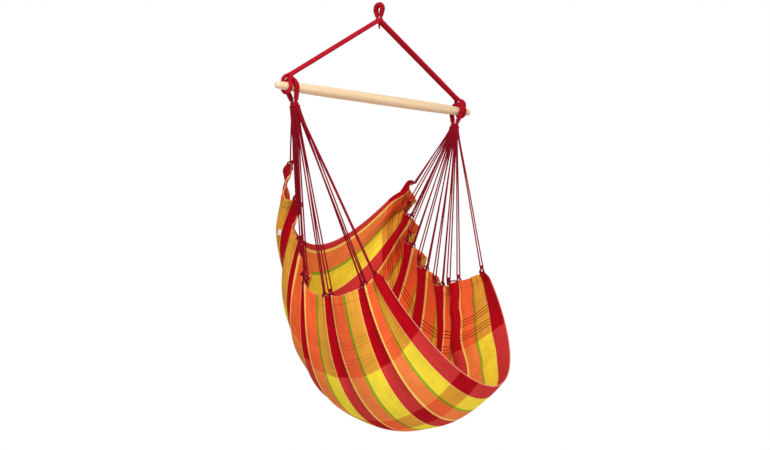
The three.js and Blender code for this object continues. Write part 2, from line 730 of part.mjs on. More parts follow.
// Label: a blank tab that lies on the outside of the left hem.
function label() {
  const j = columns.indexOf(stripes[2 * labelPanel - 1].start) + (panelSteps - 1) / 2;
  const corner = (i, column) => {
    const w = columns[column];
    const u = rows[i](w);
    return cloth(u, w).addScaledVector(normalOf(cloth, u, w), hemThickness / 2);
  };
  const [a, b, c, d] = [corner(0, j), corner(0, j + 1), corner(1, j + 1), corner(1, j)];
  const centre = a.clone().add(b).add(c).add(d).multiplyScalar(1 / 4);
  const across = b.clone().add(c).sub(a).sub(d).normalize();
  const out = across.clone().cross(d.clone().sub(a)).normalize();
  if (out.dot(a.clone().setY(0).setZ(0)) < 0) out.negate();
  const box = new THREE.BoxGeometry(labelWidth, labelLength, labelThickness);
  const turned = new THREE.Matrix4().makeBasis(across, out.clone().cross(across), out);
  const sag = Math.abs(a.clone().sub(centre).dot(out));
  box.applyMatrix4(turned);
  return { box, place: centre.addScaledVector(out, sag + 2 * touchGap + labelThickness / 2) };
}

for (const side of [-1, 1]) {
  const sideName = side < 0 ? "left" : "right";
  whippedEye(sideName + "_harness_eye", harnessPath, harnessEyeTurns, stations[side]);
  add(sideName + "_neck_binding", neckBinding(), cottonRed, stations[side]).position.z = neckTop;
  add(sideName + "_suspension_rope", suspensionRope(side), cottonRed);
  const ends = [loopPlaces[0], ...loopPlaces, loopPlaces.at(-1)];
  for (let i = 0; i <= panelCount; i++) {
    const number = String(i + 1).padStart(2, "0");
    add(sideName + "_hem_lacing_" + number, hemLacing(side, ends[2 * i], ends[2 * i + 1]), cottonRed, below);
  }
  for (let i = 0; i < 2 * panelCount; i++) {
    const number = String(i + 1).padStart(2, "0");
    add(sideName + "_harness_cord_" + number, harnessCord(side, i), cottonRed, below);
  }
}
const { box: labelBox, place: labelPlace } = label();
add("hem_label", labelBox, tape, below).position.copy(labelPlace);

export default root;
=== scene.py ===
# A hammock chair: a striped cotton seat cloth, hung on harness cords from a beech spreader bar,
# which two doubled ropes carry from one whipped eye. Metres, +Z up, X along the bar, and the
# sitter faces -Y. The origin is the top of the hole in the hanging eye.
import math

import bpy
import numpy as np
from mathutils import Matrix, Vector


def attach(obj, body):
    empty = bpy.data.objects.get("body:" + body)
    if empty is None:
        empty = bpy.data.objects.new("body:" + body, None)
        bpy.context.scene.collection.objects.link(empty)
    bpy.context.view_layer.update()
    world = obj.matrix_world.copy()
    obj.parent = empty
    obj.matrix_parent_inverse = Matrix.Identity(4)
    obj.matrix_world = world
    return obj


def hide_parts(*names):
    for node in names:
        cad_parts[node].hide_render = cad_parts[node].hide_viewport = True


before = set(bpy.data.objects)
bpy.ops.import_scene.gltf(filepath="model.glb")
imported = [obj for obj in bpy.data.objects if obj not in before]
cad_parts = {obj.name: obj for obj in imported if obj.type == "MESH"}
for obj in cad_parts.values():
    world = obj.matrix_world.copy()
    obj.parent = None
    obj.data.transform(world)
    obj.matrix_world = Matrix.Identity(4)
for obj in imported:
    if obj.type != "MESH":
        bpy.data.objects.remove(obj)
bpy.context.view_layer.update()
bpy.ops.object.select_all(action="DESELECT")


# The studio. The chair hangs in front of white, over a pale floor that takes its shadow. A large
# soft lamp stands above and beside the camera, and the room fills the shadows.
class Wire:
    """A value in a shader. Arithmetic on it adds Math nodes."""

    def __init__(self, socket):
        self.socket = socket

    @staticmethod
    def node(tree, kind, settings=None, values=None, output=0):
        """Any shader node: its settings first, then the values or wires of its sockets."""
        made = tree.nodes.new("ShaderNode" + kind)
        for name, value in (settings or {}).items():
            if name == "stops":
                ramp = made.color_ramp
                while len(ramp.elements) < len(value):
                    ramp.elements.new(0.5)
                for element, (place, colour) in zip(ramp.elements, value):
                    element.position, element.color = place, colour
            else:
                setattr(made, name, value)
        for key, value in (values or {}).items():
            if isinstance(value, Wire):
                tree.links.new(value.socket, made.inputs[key])
            else:
                made.inputs[key].default_value = value
        return Wire(made.outputs[output]) if len(made.outputs) else None

    def maths(self, operation, *values, clamp=False):
        settings = {"operation": operation, "use_clamp": clamp}
        return Wire.node(self.socket.id_data, "Math", settings, dict(enumerate(values)))

    def __add__(self, other):
        return self.maths("ADD", self, other)

    def __sub__(self, other):
        return self.maths("SUBTRACT", self, other)

    def __rsub__(self, other):
        return self.maths("SUBTRACT", other, self)

    def __mul__(self, other):
        return self.maths("MULTIPLY", self, other)

    def __truediv__(self, other):
        return self.maths("DIVIDE", self, other)

    def __mod__(self, other):
        return self.maths("FLOORED_MODULO", self, other)

    def __abs__(self):
        return self.maths("ABSOLUTE", self)

    __radd__ = __add__
    __rmul__ = __mul__

    def part(self, axis):
        """One coordinate of a vector."""
        return Wire.node(self.socket.id_data, "SeparateXYZ", None, {0: self}, axis)

    def sine(self):
        return self.maths("SINE", self)

    def highest(self, other):
        return self.maths("MAXIMUM", self, other)

    def clamped(self):
        return self.maths("MULTIPLY", self, 1, clamp=True)

    def within(self, low, high, soft):
        """1 between low and high, with edges as wide as soft."""
        rise = ((self - low) / soft + 0.5).clamped()
        fall = ((high - self) / soft + 0.5).clamped()
        return rise * fall


camera_data = bpy.data.cameras.new("camera")
camera_data.lens = 66.7
camera_data.sensor_width = 36
camera_data.shift_x = 0.0078
camera_data.shift_y = 0.0974
camera = bpy.data.objects.new("camera", camera_data)
camera.location = (-3.706, -3.572, -1.055)
camera.rotation_euler = (math.radians(90), 0, math.radians(-46.05))
bpy.context.collection.objects.link(camera)
bpy.context.scene.camera = camera
bpy.context.scene.view_settings.view_transform = "Standard"


def seen_directly(tree):
    """1 for a ray from the camera, also by way of gloss or glass."""
    rays = [Wire.node(tree, "LightPath", output=name)
            for name in ("Is Camera Ray", "Is Glossy Ray", "Is Transmission Ray")]
    return rays[0].highest(rays[1]).highest(rays[2])


room_light = 0.45
room = bpy.data.worlds.new("room")
room.use_nodes = True
room.node_tree.nodes.clear()
strength = seen_directly(room.node_tree) * (1 - room_light) + room_light
sky = Wire.node(room.node_tree, "Background", None, {"Color": (1, 1, 1, 1), "Strength": strength})
Wire.node(room.node_tree, "OutputWorld", None, {"Surface": sky})
bpy.context.scene.world = room


def soft_lamp(name, place, size, power):
    data = bpy.data.lights.new(name, "AREA")
    data.shape = "DISK"
    data.size = size
    data.energy = power
    lamp = bpy.data.objects.new(name, data)
    lamp.location = place
    lamp.rotation_euler = (Vector((0, 0, -1)) - Vector(place)).to_track_quat("-Z", "Y").to_euler()
    bpy.context.collection.objects.link(lamp)


soft_lamp("key_lamp", (-3.0, -2.2, 2.3), 1.5, 165)
soft_lamp("fill_lamp", (-0.6, -4.6, -1.3), 2.5, 42)


def bare_paint(name):
    """A material with no nodes yet, and its node tree."""
    paint = bpy.data.materials.new(name)
    paint.use_nodes = True
    paint.node_tree.nodes.clear()
    return paint, paint.node_tree


floor_height = -1.93
bpy.ops.mesh.primitive_circle_add(vertices=96, radius=7, fill_type="NGON", location=(0, 0, floor_height))
studio_floor = bpy.context.object
studio_floor.name = "studio_floor"
floor_paint, tree = bare_paint("pale_floor")
place = Wire.node(tree, "TexCoord", output="Object")
far = Wire.node(tree, "VectorMath", {"operation": "LENGTH"}, {0: place}, "Value")
away = Wire.node(tree, "MapRange", {"interpolation_type": "SMOOTHSTEP"},
                 {"Value": far, "From Min": 1.3, "From Max": 2.4})
near_paint = Wire.node(tree, "BsdfDiffuse", None, {"Color": (0.86, 0.86, 0.86, 1)})
far_paint = Wire.node(tree, "Emission", None, {"Color": (1, 1, 1, 1), "Strength": 1.0})
blank = Wire.node(tree, "MixShader", None,
                  {0: away * seen_directly(tree), 1: near_paint, 2: far_paint})
Wire.node(tree, "OutputMaterial", None, {"Surface": blank})
studio_floor.data.materials.append(floor_paint)


# Hanging eye. A core of cotton rope, bent to a long loop for the hook and served with one
# unbroken cord from leg to leg. Its turns crowd inside the crown and open outside it.
touch_gap = 0.0003
hole_width = 0.012
eye_diameter = 0.020
eye_foot_diameter = 0.0145
eye_neck_drop = 0.037
whip_thickness = 0.0022
whip_gap = 0.0002
hanging_turns = 17


def shade(red, green, blue):
    """A colour from its values on a screen, 0 to 255."""
    def linear(value):
        share = value / 255
        return share / 12.92 if share < 0.04045 else ((share + 0.055) / 1.055) ** 2.4
    return (linear(red), linear(green), linear(blue), 1)


# Cord colours. The dark one is also painted shade in the grooves between strands, and the pale one a painted
# highlight on their crowns.
rope_dark = shade(104, 0, 14)
rope_red = shade(168, 8, 30)
rope_pale = shade(196, 26, 48)


def eye_path(crown_radius, crown_height, foot_height, crown_diameter, foot_diameter):
    """A loop in the YZ plane: straight legs, and a round crown that they touch. At a distance along
    it, at gives the place, the way outwards and the diameter."""
    foot = Vector(((foot_diameter + touch_gap) / 2, foot_height - crown_height))
    turn = math.atan2(foot.y, foot.x) + math.acos(crown_radius / foot.length)
    touch = Vector((math.cos(turn), math.sin(turn))) * crown_radius
    leg = (foot - touch).length
    length = 2 * leg + crown_radius * (math.pi - 2 * turn)

    def at(distance):
        nearer = min(distance, length - distance)
        share = min(nearer / leg, 1)
        outward = touch.normalized()
        flat = foot.lerp(touch, share)
        if nearer > leg:
            angle = turn + (nearer - leg) / crown_radius
            outward = Vector((math.cos(angle), math.sin(angle)))
            flat = outward * crown_radius
        side = -1 if distance > length / 2 else 1
        diameter = foot_diameter + (crown_diameter - foot_diameter) * share
        return (Vector((0, side * flat.x, flat.y + crown_height)),
                Vector((0, side * outward.x, outward.y)), diameter)

    return at, length


def select_only(*pieces):
    bpy.ops.object.select_all(action="DESELECT")
    for piece in pieces:
        piece.select_set(True)
    bpy.context.view_layer.objects.active = pieces[0]


def lay_wraps(mesh, name, wraps):
    """A UV map. Wraps gives a UV for each corner of each face."""
    layer = mesh.uv_layers.new(name=name)
    layer.data.foreach_set("uv", np.asarray(wraps, dtype=np.float32).ravel())


def piece_from(name, places, faces, wraps, material=None):
    """A mesh piece with faces that point outwards."""
    mesh = bpy.data.meshes.new(name)
    mesh.from_pydata([tuple(p) for p in places], [], faces)
    lay_wraps(mesh, "lay", wraps)
    mesh.polygons.foreach_set("use_smooth", [True] * len(mesh.polygons))
    piece = bpy.data.objects.new(name, mesh)
    bpy.context.collection.objects.link(piece)
    if material:
        mesh.materials.append(material)
    select_only(piece)
    bpy.ops.object.mode_set(mode="EDIT")
    bpy.ops.mesh.select_all(action="SELECT")
    bpy.ops.mesh.normals_make_consistent(inside=False)
    bpy.ops.object.mode_set(mode="OBJECT")
    piece.select_set(False)
    return piece


cap_angles = (0.5, 1.0, 1.35)
cap_flatness = 0.7


def lofted(name, rings, material, round_ends=True):
    """A closed skin over rings of points. UV x goes round once, and y is the length in metres."""
    rings = [np.asarray(ring, dtype=float) for ring in rings]
    if round_ends:
        for end, inner in ((0, 1), (-1, -2)):
            middle = rings[end].mean(axis=0)
            off = middle - rings[inner].mean(axis=0)
            off *= np.linalg.norm(rings[end][0] - middle) / max(np.linalg.norm(off), 1e-9)
            caps = [middle + (rings[end] - middle) * math.cos(a) + off * math.sin(a) * cap_flatness
                    for a in cap_angles]
            rings = caps[::-1] + rings if end == 0 else rings + caps
    count = len(rings[0])
    middles = [ring.mean(axis=0) for ring in rings]
    runs = [0.0]
    for before, after in zip(middles, middles[1:]):
        runs.append(runs[-1] + float(np.linalg.norm(after - before)))
    faces, wraps = [], []
    for i in range(len(rings) - 1):
        for j in range(count):
            k = (j + 1) % count
            faces.append((i * count + j, i * count + k, (i + 1) * count + k, (i + 1) * count + j))
            wraps += [(j / count, runs[i]), ((j + 1) / count, runs[i]),
                      ((j + 1) / count, runs[i + 1]), (j / count, runs[i + 1])]
    for i in (0, len(rings) - 1):
        ring = list(range(i * count, (i + 1) * count))
        faces.append(tuple(ring[::-1] if i == 0 else ring))
        wraps += [(0.5, runs[i])] * count
    return piece_from(name, np.concatenate(rings), faces, wraps, material)


def noise(tree, where, scale, detail):
    return Wire.node(tree, "TexNoise", None, {"Vector": where, "Scale": scale, "Detail": detail})


def cover(tree, sockets):
    """The surface of a material."""
    Wire.node(tree, "OutputMaterial", None, {"Surface": Wire.node(tree, "BsdfPrincipled", None, sockets)})


def cord_finish(name, strands, lay, plait, depth, dark=rope_dark, base=rope_red, pale=rope_pale):
    """Dyed cotton cord: strands that lie round it, or cross where it is plaited. Its colour has painted shade
    in the grooves between strands and a painted highlight on their crowns.
    """
    paint, tree = bare_paint(name)
    wrap = Wire.node(tree, "UVMap", {"uv_map": "lay"})
    around = wrap.part("X")
    along = wrap.part("Y")
    strand = abs(((around * strands + along / lay) * math.pi).sine())
    if plait:
        cross = abs(((around * strands - along / lay) * math.pi).sine())
        strand = strand.highest(cross)
    where = Wire.node(tree, "TexCoord", output="Object")
    cloud = noise(tree, where, 45.0, 3.0)
    fuzz = noise(tree, where, 1400.0, 2.0)
    # Painted shade in the grooves between strands and a painted highlight on their crowns, mixed with uneven
    # dye from the noise.
    tone = strand * 0.55 + cloud * 0.35 + fuzz * 0.25 - 0.05
    colour = Wire.node(tree, "ValToRGB",
                       {"stops": [(0.12, dark), (0.62, base), (1.0, pale)]}, {0: tone})
    relief = Wire.node(tree, "Bump", None,
                       {"Strength": 0.9, "Distance": depth, "Height": strand + fuzz * 0.25})
    cover(tree, {
        "Base Color": colour, "Roughness": 0.78, "Normal": relief,
        "Sheen Weight": 0.02, "Sheen Roughness": 0.5, "Specular IOR Level": 0.08})
    return paint


served_cord = cord_finish("served_cord", strands=3, lay=0.009, plait=False, depth=0.0004)


def all_round(count):
    """Angles evenly round a section."""
    return [math.tau * j / count for j in range(count)]


def eye_core(name, path, material):
    """The rope inside the serving, a hair thinner than the serving's bore."""
    at, length = path
    steps, sides = 48, 16
    rings = []
    for i in range(steps + 1):
        point, outward, diameter = at(length * i / steps)
        radius = (diameter - 2 * whip_thickness) / 2 - touch_gap
        spokes = [outward * math.cos(t) + Vector((1, 0, 0)) * math.sin(t) for t in all_round(sides)]
        rings.append([point + spoke * radius for spoke in spokes])
    return lofted(name, rings, material)


def served_eye(name, path, turns, material):
    """The serving: each turn is as wide as its neighbours allow at that side of the bend."""
    at, length = path
    steps, sides = 24, 10
    pitch = (length - 2 * whip_thickness) / (turns + 1)
    places = []
    for i in range(turns * steps + 1):
        point, outward, diameter = at(whip_thickness + pitch / 2 + pitch * i / steps)
        angle = math.tau * i / steps + math.pi
        spoke = outward * math.cos(angle) + Vector((1, 0, 0)) * math.sin(angle)
        forward = Vector((1, 0, 0)).cross(outward).normalized()
        places.append((point + spoke * (diameter - whip_thickness) / 2, spoke, forward))
    rings = []
    for i, (centre, spoke, forward) in enumerate(places):
        width = min((centre - places[k][0]).length for k in (i - steps, i + steps)
                    if 0 <= k < len(places)) - whip_gap
        rings.append([centre + spoke * (whip_thickness / 2 * math.cos(t))
                      + forward * (width / 2 * math.sin(t)) for t in all_round(sides)])
    return lofted(name, rings, material)


def settle(piece, body, node):
    """The piece stands for this node, and moves with its body."""
    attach(piece, body)
    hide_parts(node)


hanging_path = eye_path((hole_width + eye_diameter) / 2, -hole_width / 2, -eye_neck_drop,
                        eye_diameter, eye_foot_diameter)
settle(eye_core("hanging_core", hanging_path, served_cord), "hook_eye", "hanging_eye_core")
settle(served_eye("hanging_serving", hanging_path, hanging_turns, served_cord),
       "hook_eye", "hanging_eye_whipping")


# Throat knot. The suspension rope is wrapped round its own neck under the eye and pulled tight
# to a ball, and its cut end hangs out below.
knot_centre = Vector((0, 0, -0.0444))
knot_radius = 0.0145
knot_sink = 0.006
knot_wraps = 4
wrap_depth = 0.09
knot_tilt = 0.002
knot_levels = 40
knot_sides = 40
least_ring = 0.02
tail_diameter = 0.0072
tail_length = 0.015
tail_root = 0.0014
tail_start_share = 0.9
tail_steps = 6

plaited_rope = cord_finish("plaited_rope", strands=8, lay=0.016, plait=True, depth=0.0007)

knot_rings = []
start = math.asin(knot_sink / knot_radius)
for i in range(knot_levels + 1):
    share = i / knot_levels
    angle = start - (start + math.pi / 2) * share
    rib = 1 - wrap_depth * (1 - abs(math.sin(math.pi * share * knot_wraps)))
    reach = knot_radius * rib * max(math.cos(angle), least_ring)
    knot_rings.append([knot_centre + Vector((
        reach * math.cos(t), reach * math.sin(t),
        knot_radius * math.sin(angle) + knot_tilt * math.cos(t) * math.cos(angle)))
        for t in all_round(knot_sides)])
settle(lofted("wrapped_knot", knot_rings, plaited_rope, round_ends=False),
       "knot", "throat_knot")


def tube(name, places, radius, material, sides=12):
    """A round cord along a run of places. Its section is carried along without twisting."""
    run = [Vector(p) for p in places]
    rings = []
    side = None
    for i, place in enumerate(run):
        ahead = (run[min(i + 1, len(run) - 1)] - run[max(i - 1, 0)]).normalized()
        if side is None:
            side = Vector((1, 0, 0)) if abs(ahead.x) < 0.8 else Vector((0, 0, 1))
        side = (side - ahead * side.dot(ahead)).normalized()
        other = ahead.cross(side)
        rings.append([place + (side * math.cos(t) + other * math.sin(t)) * radius for t in all_round(sides)])
    return lofted(name, rings, material)


# The tail's root lies inside the knot, and the rest of it hangs clear of both ropes.
tail_aim = Vector((0, -0.03, -1)).normalized()
tail_start = knot_centre + tail_aim * (knot_radius * tail_start_share)
tail_run = [tail_start + tail_aim * (tail_length + tail_root) * k / tail_steps for k in range(tail_steps + 1)]
settle(tube("cut_tail", tail_run, tail_diameter / 2, plaited_rope), "knot", "rope_tail")


# Suspension ropes. Each is one plaited cotton rope, doubled: both runs leave the knot side by
# side, pass over the harness eye and go down round the bar, which hangs in the bight.
bar_drop = 0.332
rope_radius = 0.0066
rope_spread = 0.018
rope_root = 0.55
straight_share = 0.75
harness_reach = 0.428
harness_lean = math.pi / 14
harness_eye_diameter = 0.019
harness_foot_diameter = 0.017
harness_neck_drop = 0.051
bar_half = 0.5
bar_middle_diameter = 0.0375
bar_tip_diameter = 0.0225


def bar_radius(reach):
    """The bar's radius at this distance from its middle."""
    swell = (bar_middle_diameter - bar_tip_diameter) / 2
    return bar_middle_diameter / 2 - swell * (abs(reach) / bar_half) ** 5


def smooth_run(places, steps):
    """Evenly read places on a smooth curve through the given ones."""
    knots = [Vector(p) for p in places]
    knots = [knots[0] * 2 - knots[1]] + knots + [knots[-1] * 2 - knots[-2]]
    run = []
    for p0, p1, p2, p3 in zip(knots, knots[1:], knots[2:], knots[3:]):
        d0, d1, d2 = [max((b - a).length, 1e-9) ** 0.5 for a, b in ((p0, p1), (p1, p2), (p2, p3))]
        m1 = ((p1 - p0) / d0 - (p2 - p0) / (d0 + d1) + (p2 - p1) / d1) * d1
        m2 = ((p2 - p1) / d1 - (p3 - p1) / (d1 + d2) + (p3 - p2) / d2) * d1
        for i in range(steps):
            t = i / steps
            run.append(p1 * (2 * t ** 3 - 3 * t ** 2 + 1) + m1 * (t ** 3 - 2 * t ** 2 + t)
                       + p2 * (3 * t ** 2 - 2 * t ** 3) + m2 * (t ** 3 - t ** 2))
    run.append(knots[-2])
    return run


harness_inner = bar_radius(harness_reach - harness_eye_diameter / 2) + touch_gap
harness_crown = (harness_inner + harness_eye_diameter / 2) / math.cos(harness_lean)


def suspension_run(side):
    """From the knot over the harness eye, down round the bar and back, the same at both sides."""
    eye_radius = harness_eye_diameter / 2
    crown_reach = harness_reach + harness_crown * math.sin(harness_lean)
    crown_height = harness_crown * math.cos(harness_lean)
    bow = (eye_radius + touch_gap + rope_radius) / math.cos(math.pi / 12)
    side_angle = math.pi / 3
    low = bar_radius(crown_reach + eye_radius) + touch_gap + rope_radius
    lean = math.asin(rope_spread / 2 / (crown_height + bow))
    over_steps, round_steps = 3, 7
    places = []
    for i in range(over_steps + 1):
        share = i / over_steps
        turn = math.pi / 2 * share
        places.append((bow * math.sin(turn), crown_height + bow * math.cos(turn), lean + share * math.pi / 5))
    for i in range(round_steps + 1):
        places.append((bow, low, side_angle + (math.pi - side_angle) * i / round_steps))
    front = [Vector((side * (crown_reach + out), -radius * math.sin(angle),
                     radius * math.cos(angle) - bar_drop))
             for out, radius, angle in places]
    aim = front[0].copy()
    aim.y = 0
    aim = (aim - knot_centre).normalized()
    start = knot_centre + aim * (knot_radius * rope_root)
    start.y = -(rope_radius + touch_gap)
    near = start.lerp(front[0], straight_share)
    near.y = start.y - touch_gap
    front = [start, start.lerp(near, 0.5), near] + front
    back = [Vector((p.x, -p.y, p.z)) for p in front[:-1]][::-1]
    return smooth_run(front + back, 10)


both_sides = ((-1, "left"), (1, "right"))
for side, name in both_sides:
    rope = tube(name + "_rope", suspension_run(side), rope_radius, plaited_rope, sides=20)
    settle(rope, "ropes", name + "_suspension_rope")


# Spreader bar. One beech dowel, turned so that it swells in the middle and thins to rounded
# tips, sanded and lightly oiled.
bar_tip_rounding = 0.009
swell_steps, tip_steps, spin_steps = 40, 12, 48

outline = []
tip_start = bar_half - bar_tip_rounding
for i in range(swell_steps + 1):
    reach = tip_start * math.sin(math.pi / 2 * i / swell_steps)
    outline.append((reach, bar_radius(reach)))
shoulder = bar_radius(tip_start)
for i in range(1, tip_steps + 1):
    angle = math.pi / 2 * i / tip_steps
    outline.append((tip_start + bar_tip_rounding * math.sin(angle),
                    shoulder - bar_tip_rounding + bar_tip_rounding * math.cos(angle)))
outline = [(-x, r) for x, r in outline[:0:-1]] + outline

# The outline takes the place of a small circle's points, and is then spun round the bar's axis.
bpy.ops.mesh.primitive_circle_add(vertices=3, radius=0.001, location=(0, 0, 0))
spreader = bpy.context.object
spreader.name = "turned_bar"
bpy.ops.object.mode_set(mode="EDIT")
bpy.ops.mesh.select_all(action="SELECT")
bpy.ops.mesh.delete(type="VERT")
bpy.ops.object.mode_set(mode="OBJECT")
spreader.data.from_pydata([(x, 0, r - bar_drop) for x, r in outline],
                          [(i, i + 1) for i in range(len(outline) - 1)], [])
bpy.ops.object.mode_set(mode="EDIT")
bpy.ops.mesh.select_all(action="SELECT")
bpy.ops.mesh.spin(steps=spin_steps, angle=math.tau, center=(0, 0, -bar_drop), axis=(1, 0, 0))
bpy.ops.mesh.select_all(action="SELECT")
bpy.ops.mesh.remove_doubles(threshold=0.00005)
bpy.ops.mesh.select_all(action="DESELECT")
bpy.ops.mesh.select_non_manifold()
bpy.ops.mesh.edge_face_add()
bpy.ops.mesh.select_all(action="SELECT")
bpy.ops.mesh.normals_make_consistent(inside=False)
bpy.ops.object.mode_set(mode="OBJECT")
bpy.ops.object.shade_smooth_by_angle(angle=math.radians(50))
spreader.select_set(False)

wood, tree = bare_paint("oiled_beech")
where = Wire.node(tree, "TexCoord", output="Object")
long_grain = Wire.node(tree, "Mapping", None, {"Vector": where, "Scale": (3.0, 90.0, 90.0)})
flecks = Wire.node(tree, "Mapping", None, {"Vector": where, "Scale": (60.0, 900.0, 900.0)})
bands = Wire.node(tree, "TexNoise", None,
                  {"Vector": long_grain, "Scale": 1.0, "Detail": 4.0, "Distortion": 0.4})
pores = noise(tree, flecks, 1.0, 2.0)
tone = bands * 0.75 + pores * 0.25
grain = Wire.node(tree, "ValToRGB", {"stops": [
    (0.25, shade(222, 184, 138)), (0.5, shade(236, 205, 164)), (0.75, shade(242, 216, 180))]}, {0: tone})
relief = Wire.node(tree, "Bump", None, {"Strength": 0.35, "Distance": 0.0003, "Height": pores})
cover(tree, {
    "Base Color": grain, "Roughness": 0.5 + pores * 0.12, "Normal": relief, "Specular IOR Level": 0.4})
spreader.data.materials.append(wood)
settle(spreader, "bar", "spreader_bar")


# Harness eyes. The harness is bent over the bar in a served eye at each end, leaning with the
# pull of its cords, and bound at the neck with three turns of cord.
harness_turns = 22
binding_height = 0.013
binding_ribs = 3
binding_bulge = 0.0012

corner_share = math.cos(math.pi / 8)
harness_path = eye_path(harness_crown, 0, -harness_neck_drop, harness_eye_diameter, harness_foot_diameter)
_, foot_outward, foot_diameter = harness_path[0](0)
core_foot = (corner_share * (foot_diameter - whip_thickness) - whip_thickness) / 2 - touch_gap
neck_top = -harness_neck_drop - core_foot * corner_share * abs(foot_outward.z) - touch_gap
neck_foot = neck_top - binding_height


def station(side):
    """Where a harness eye stands on the bar, and how it leans."""
    place = Matrix.Translation((side * harness_reach, 0, -bar_drop))
    return place @ Matrix.Rotation(side * harness_lean, 4, "Y")


def neck_rings():
    """Long rings round both legs of the eye, swelling with each turn of the binding."""
    half_flat = (harness_foot_diameter + touch_gap) / 2
    levels = binding_ribs * 10
    end_steps = 14
    rings = []
    for i in range(levels + 1):
        share = i / levels
        swell = binding_bulge * 1.6 * abs(math.sin(math.pi * share * binding_ribs)) ** 0.6
        radius = harness_foot_diameter / 2 - binding_bulge * 0.9 + swell
        ring = []
        for end in (1, -1):
            for j in range(end_steps + 1):
                angle = math.pi * j / end_steps + (0 if end > 0 else math.pi)
                ring.append(Vector((radius * math.cos(angle), end * half_flat + radius * math.sin(angle),
                                    neck_top - binding_height * share)))
        rings.append(ring)
    return rings


for side, name in both_sides:
    core = eye_core(name + "_harness_core", harness_path, served_cord)
    serving = served_eye(name + "_harness_serving", harness_path, harness_turns, served_cord)
    binding = lofted(name + "_binding", neck_rings(), served_cord, round_ends=False)
    for piece in (core, serving, binding):
        piece.data.transform(station(side))
    settle(core, "seat", name + "_harness_eye_core")
    settle(serving, "seat", name + "_harness_eye_whipping")
    settle(binding, "seat", name + "_neck_binding")


# Seat cloth. One length of handwoven cotton, striped across its width and shaded in bands along
# its weft. Both ends are turned over and stitched to a hem, which the lacing gathers in folds.
panel_count = 6
panel_width = 0.150
red_width = 0.065
cloth_width = panel_count * panel_width + (panel_count + 1) * red_width
stripe_count = 2 * panel_count + 1
hem_width = 0.034
hem_half_span = 0.326
hem_panel_span, hem_red_span, hem_edge_span = 0.070, 0.045, 0.050
panel_fold, red_fold, edge_fold, fold_lean = 0.056, 0.024, 0.022, 0.040
fold_fade = 1.7
right_pull = 0.066
cloth_thickness = 0.0022
hem_thickness = 0.0046
seat_back, seat_front, seat_top, seat_depth = 0.322, -0.536, 0.516, 0.674
hem_back, hem_front, hem_top, hem_depth = 0.142, -0.276, 0.245, 0.427

# Places of three lines of the cloth, from the back: the share of the way to the front, and the
# share of the depth under the top.
seat_profile_shares = [
    (0, 0), (-0.014, 0.193), (-0.005, 0.386), (0.033, 0.564), (0.108, 0.727), (0.219, 0.868),
    (0.359, 0.962), (0.51, 0.995), (0.674, 0.968), (0.825, 0.9), (0.935, 0.805), (1, 0.734)]
right_hem_shares = [
    (0, 0), (-0.005, 0.2), (0.02, 0.42), (0.04, 0.6), (0.11, 0.72), (0.21, 0.83),
    (0.31, 0.945), (0.46, 1), (0.6, 0.972), (0.8, 0.915), (1, 0.871)]
left_hem_shares = [
    (-0.1, 0.03), (0.03, 0.02), (0.0, 0.19), (0.09, 0.385), (0.07, 0.58), (0.11, 0.83),
    (0.16, 1.01), (0.25, 1.075), (0.5, 1.09), (0.65, 1.08), (0.82, 1.02), (1, 0.9)]

# Shares from the back to the front, with -1 for the left side and 1 for the right one: how far out
# a hem lies, how squarely the cloth hangs, how wide each stripe lies in the gathered hem, how far
# each panel folds out or in, and how far the left folds lean. The last list runs from the middle
# of the seat to the right hem, and says how far that wall is drawn in.
hem_span_shares = [1, 0.955, 0.93, 0.92, 0.915, 0.91, 0.905, 0.905]
hang_shares = {-1: [2, 1, 0.8, 0.6, 0.67, 0.8, 1.05, 1.4], 1: [2, 1.3, 0.95, 0.85, 0.85, 0.95, 1.15, 1.4]}
span_shares = {-1: [1.6, 1.2, 1.2, 1.15, 1, 1.05, 0.55, 1.6, 0.65, 1.75, 0.65, 0.62, 0.55],
               1: [1, 1, 1, 1, 1, 1, 1, 1, 1, 0.43, 1, 1.57, 1]}
fold_shares = {-1: [0.4, 0.3, -0.9, -0.45, 0.5, -0.5], 1: [0.8, 1, 1, 1, 1, 0.12]}
lean_shares = [0.9, 0.1, 0.75, 0, 0.6, 0]
right_pull_shares = [0, 0.1, 0.62, 1, 0.62, 0]


def blend_shares(shares, share):
    """A list of shares, read smoothly between its entries."""
    place = np.clip(share, 0, 1) * (len(shares) - 1)
    i = np.minimum(place.astype(int) if isinstance(place, np.ndarray) else int(place), len(shares) - 2)
    t = place - i
    t = t * t * (3 - 2 * t)
    table = np.asarray(shares, dtype=float)
    return table[i] * (1 - t) + table[i + 1] * t


def lengths_along(points):
    return np.concatenate([[0], np.cumsum(np.linalg.norm(np.diff(points, axis=0), axis=1))])


def profile_line(shares, back, front, top, depth):
    """A line in the YZ plane, read by its length: place(share) gives the point."""
    run = smooth_run([(0, back + (front - back) * a, -top - depth * b - bar_drop) for a, b in shares], 80)
    points = np.array([tuple(p) for p in run])
    lengths = lengths_along(points)

    def place(share):
        return np.array([np.interp(share * lengths[-1], lengths, points[:, k]) for k in range(3)])
    return place


seat_profile = profile_line(seat_profile_shares, seat_back, seat_front, seat_top, seat_depth)
hem_lines = {side: profile_line(shares, hem_back, hem_front, hem_top, hem_depth)
             for side, shares in ((-1, left_hem_shares), (1, right_hem_shares))}

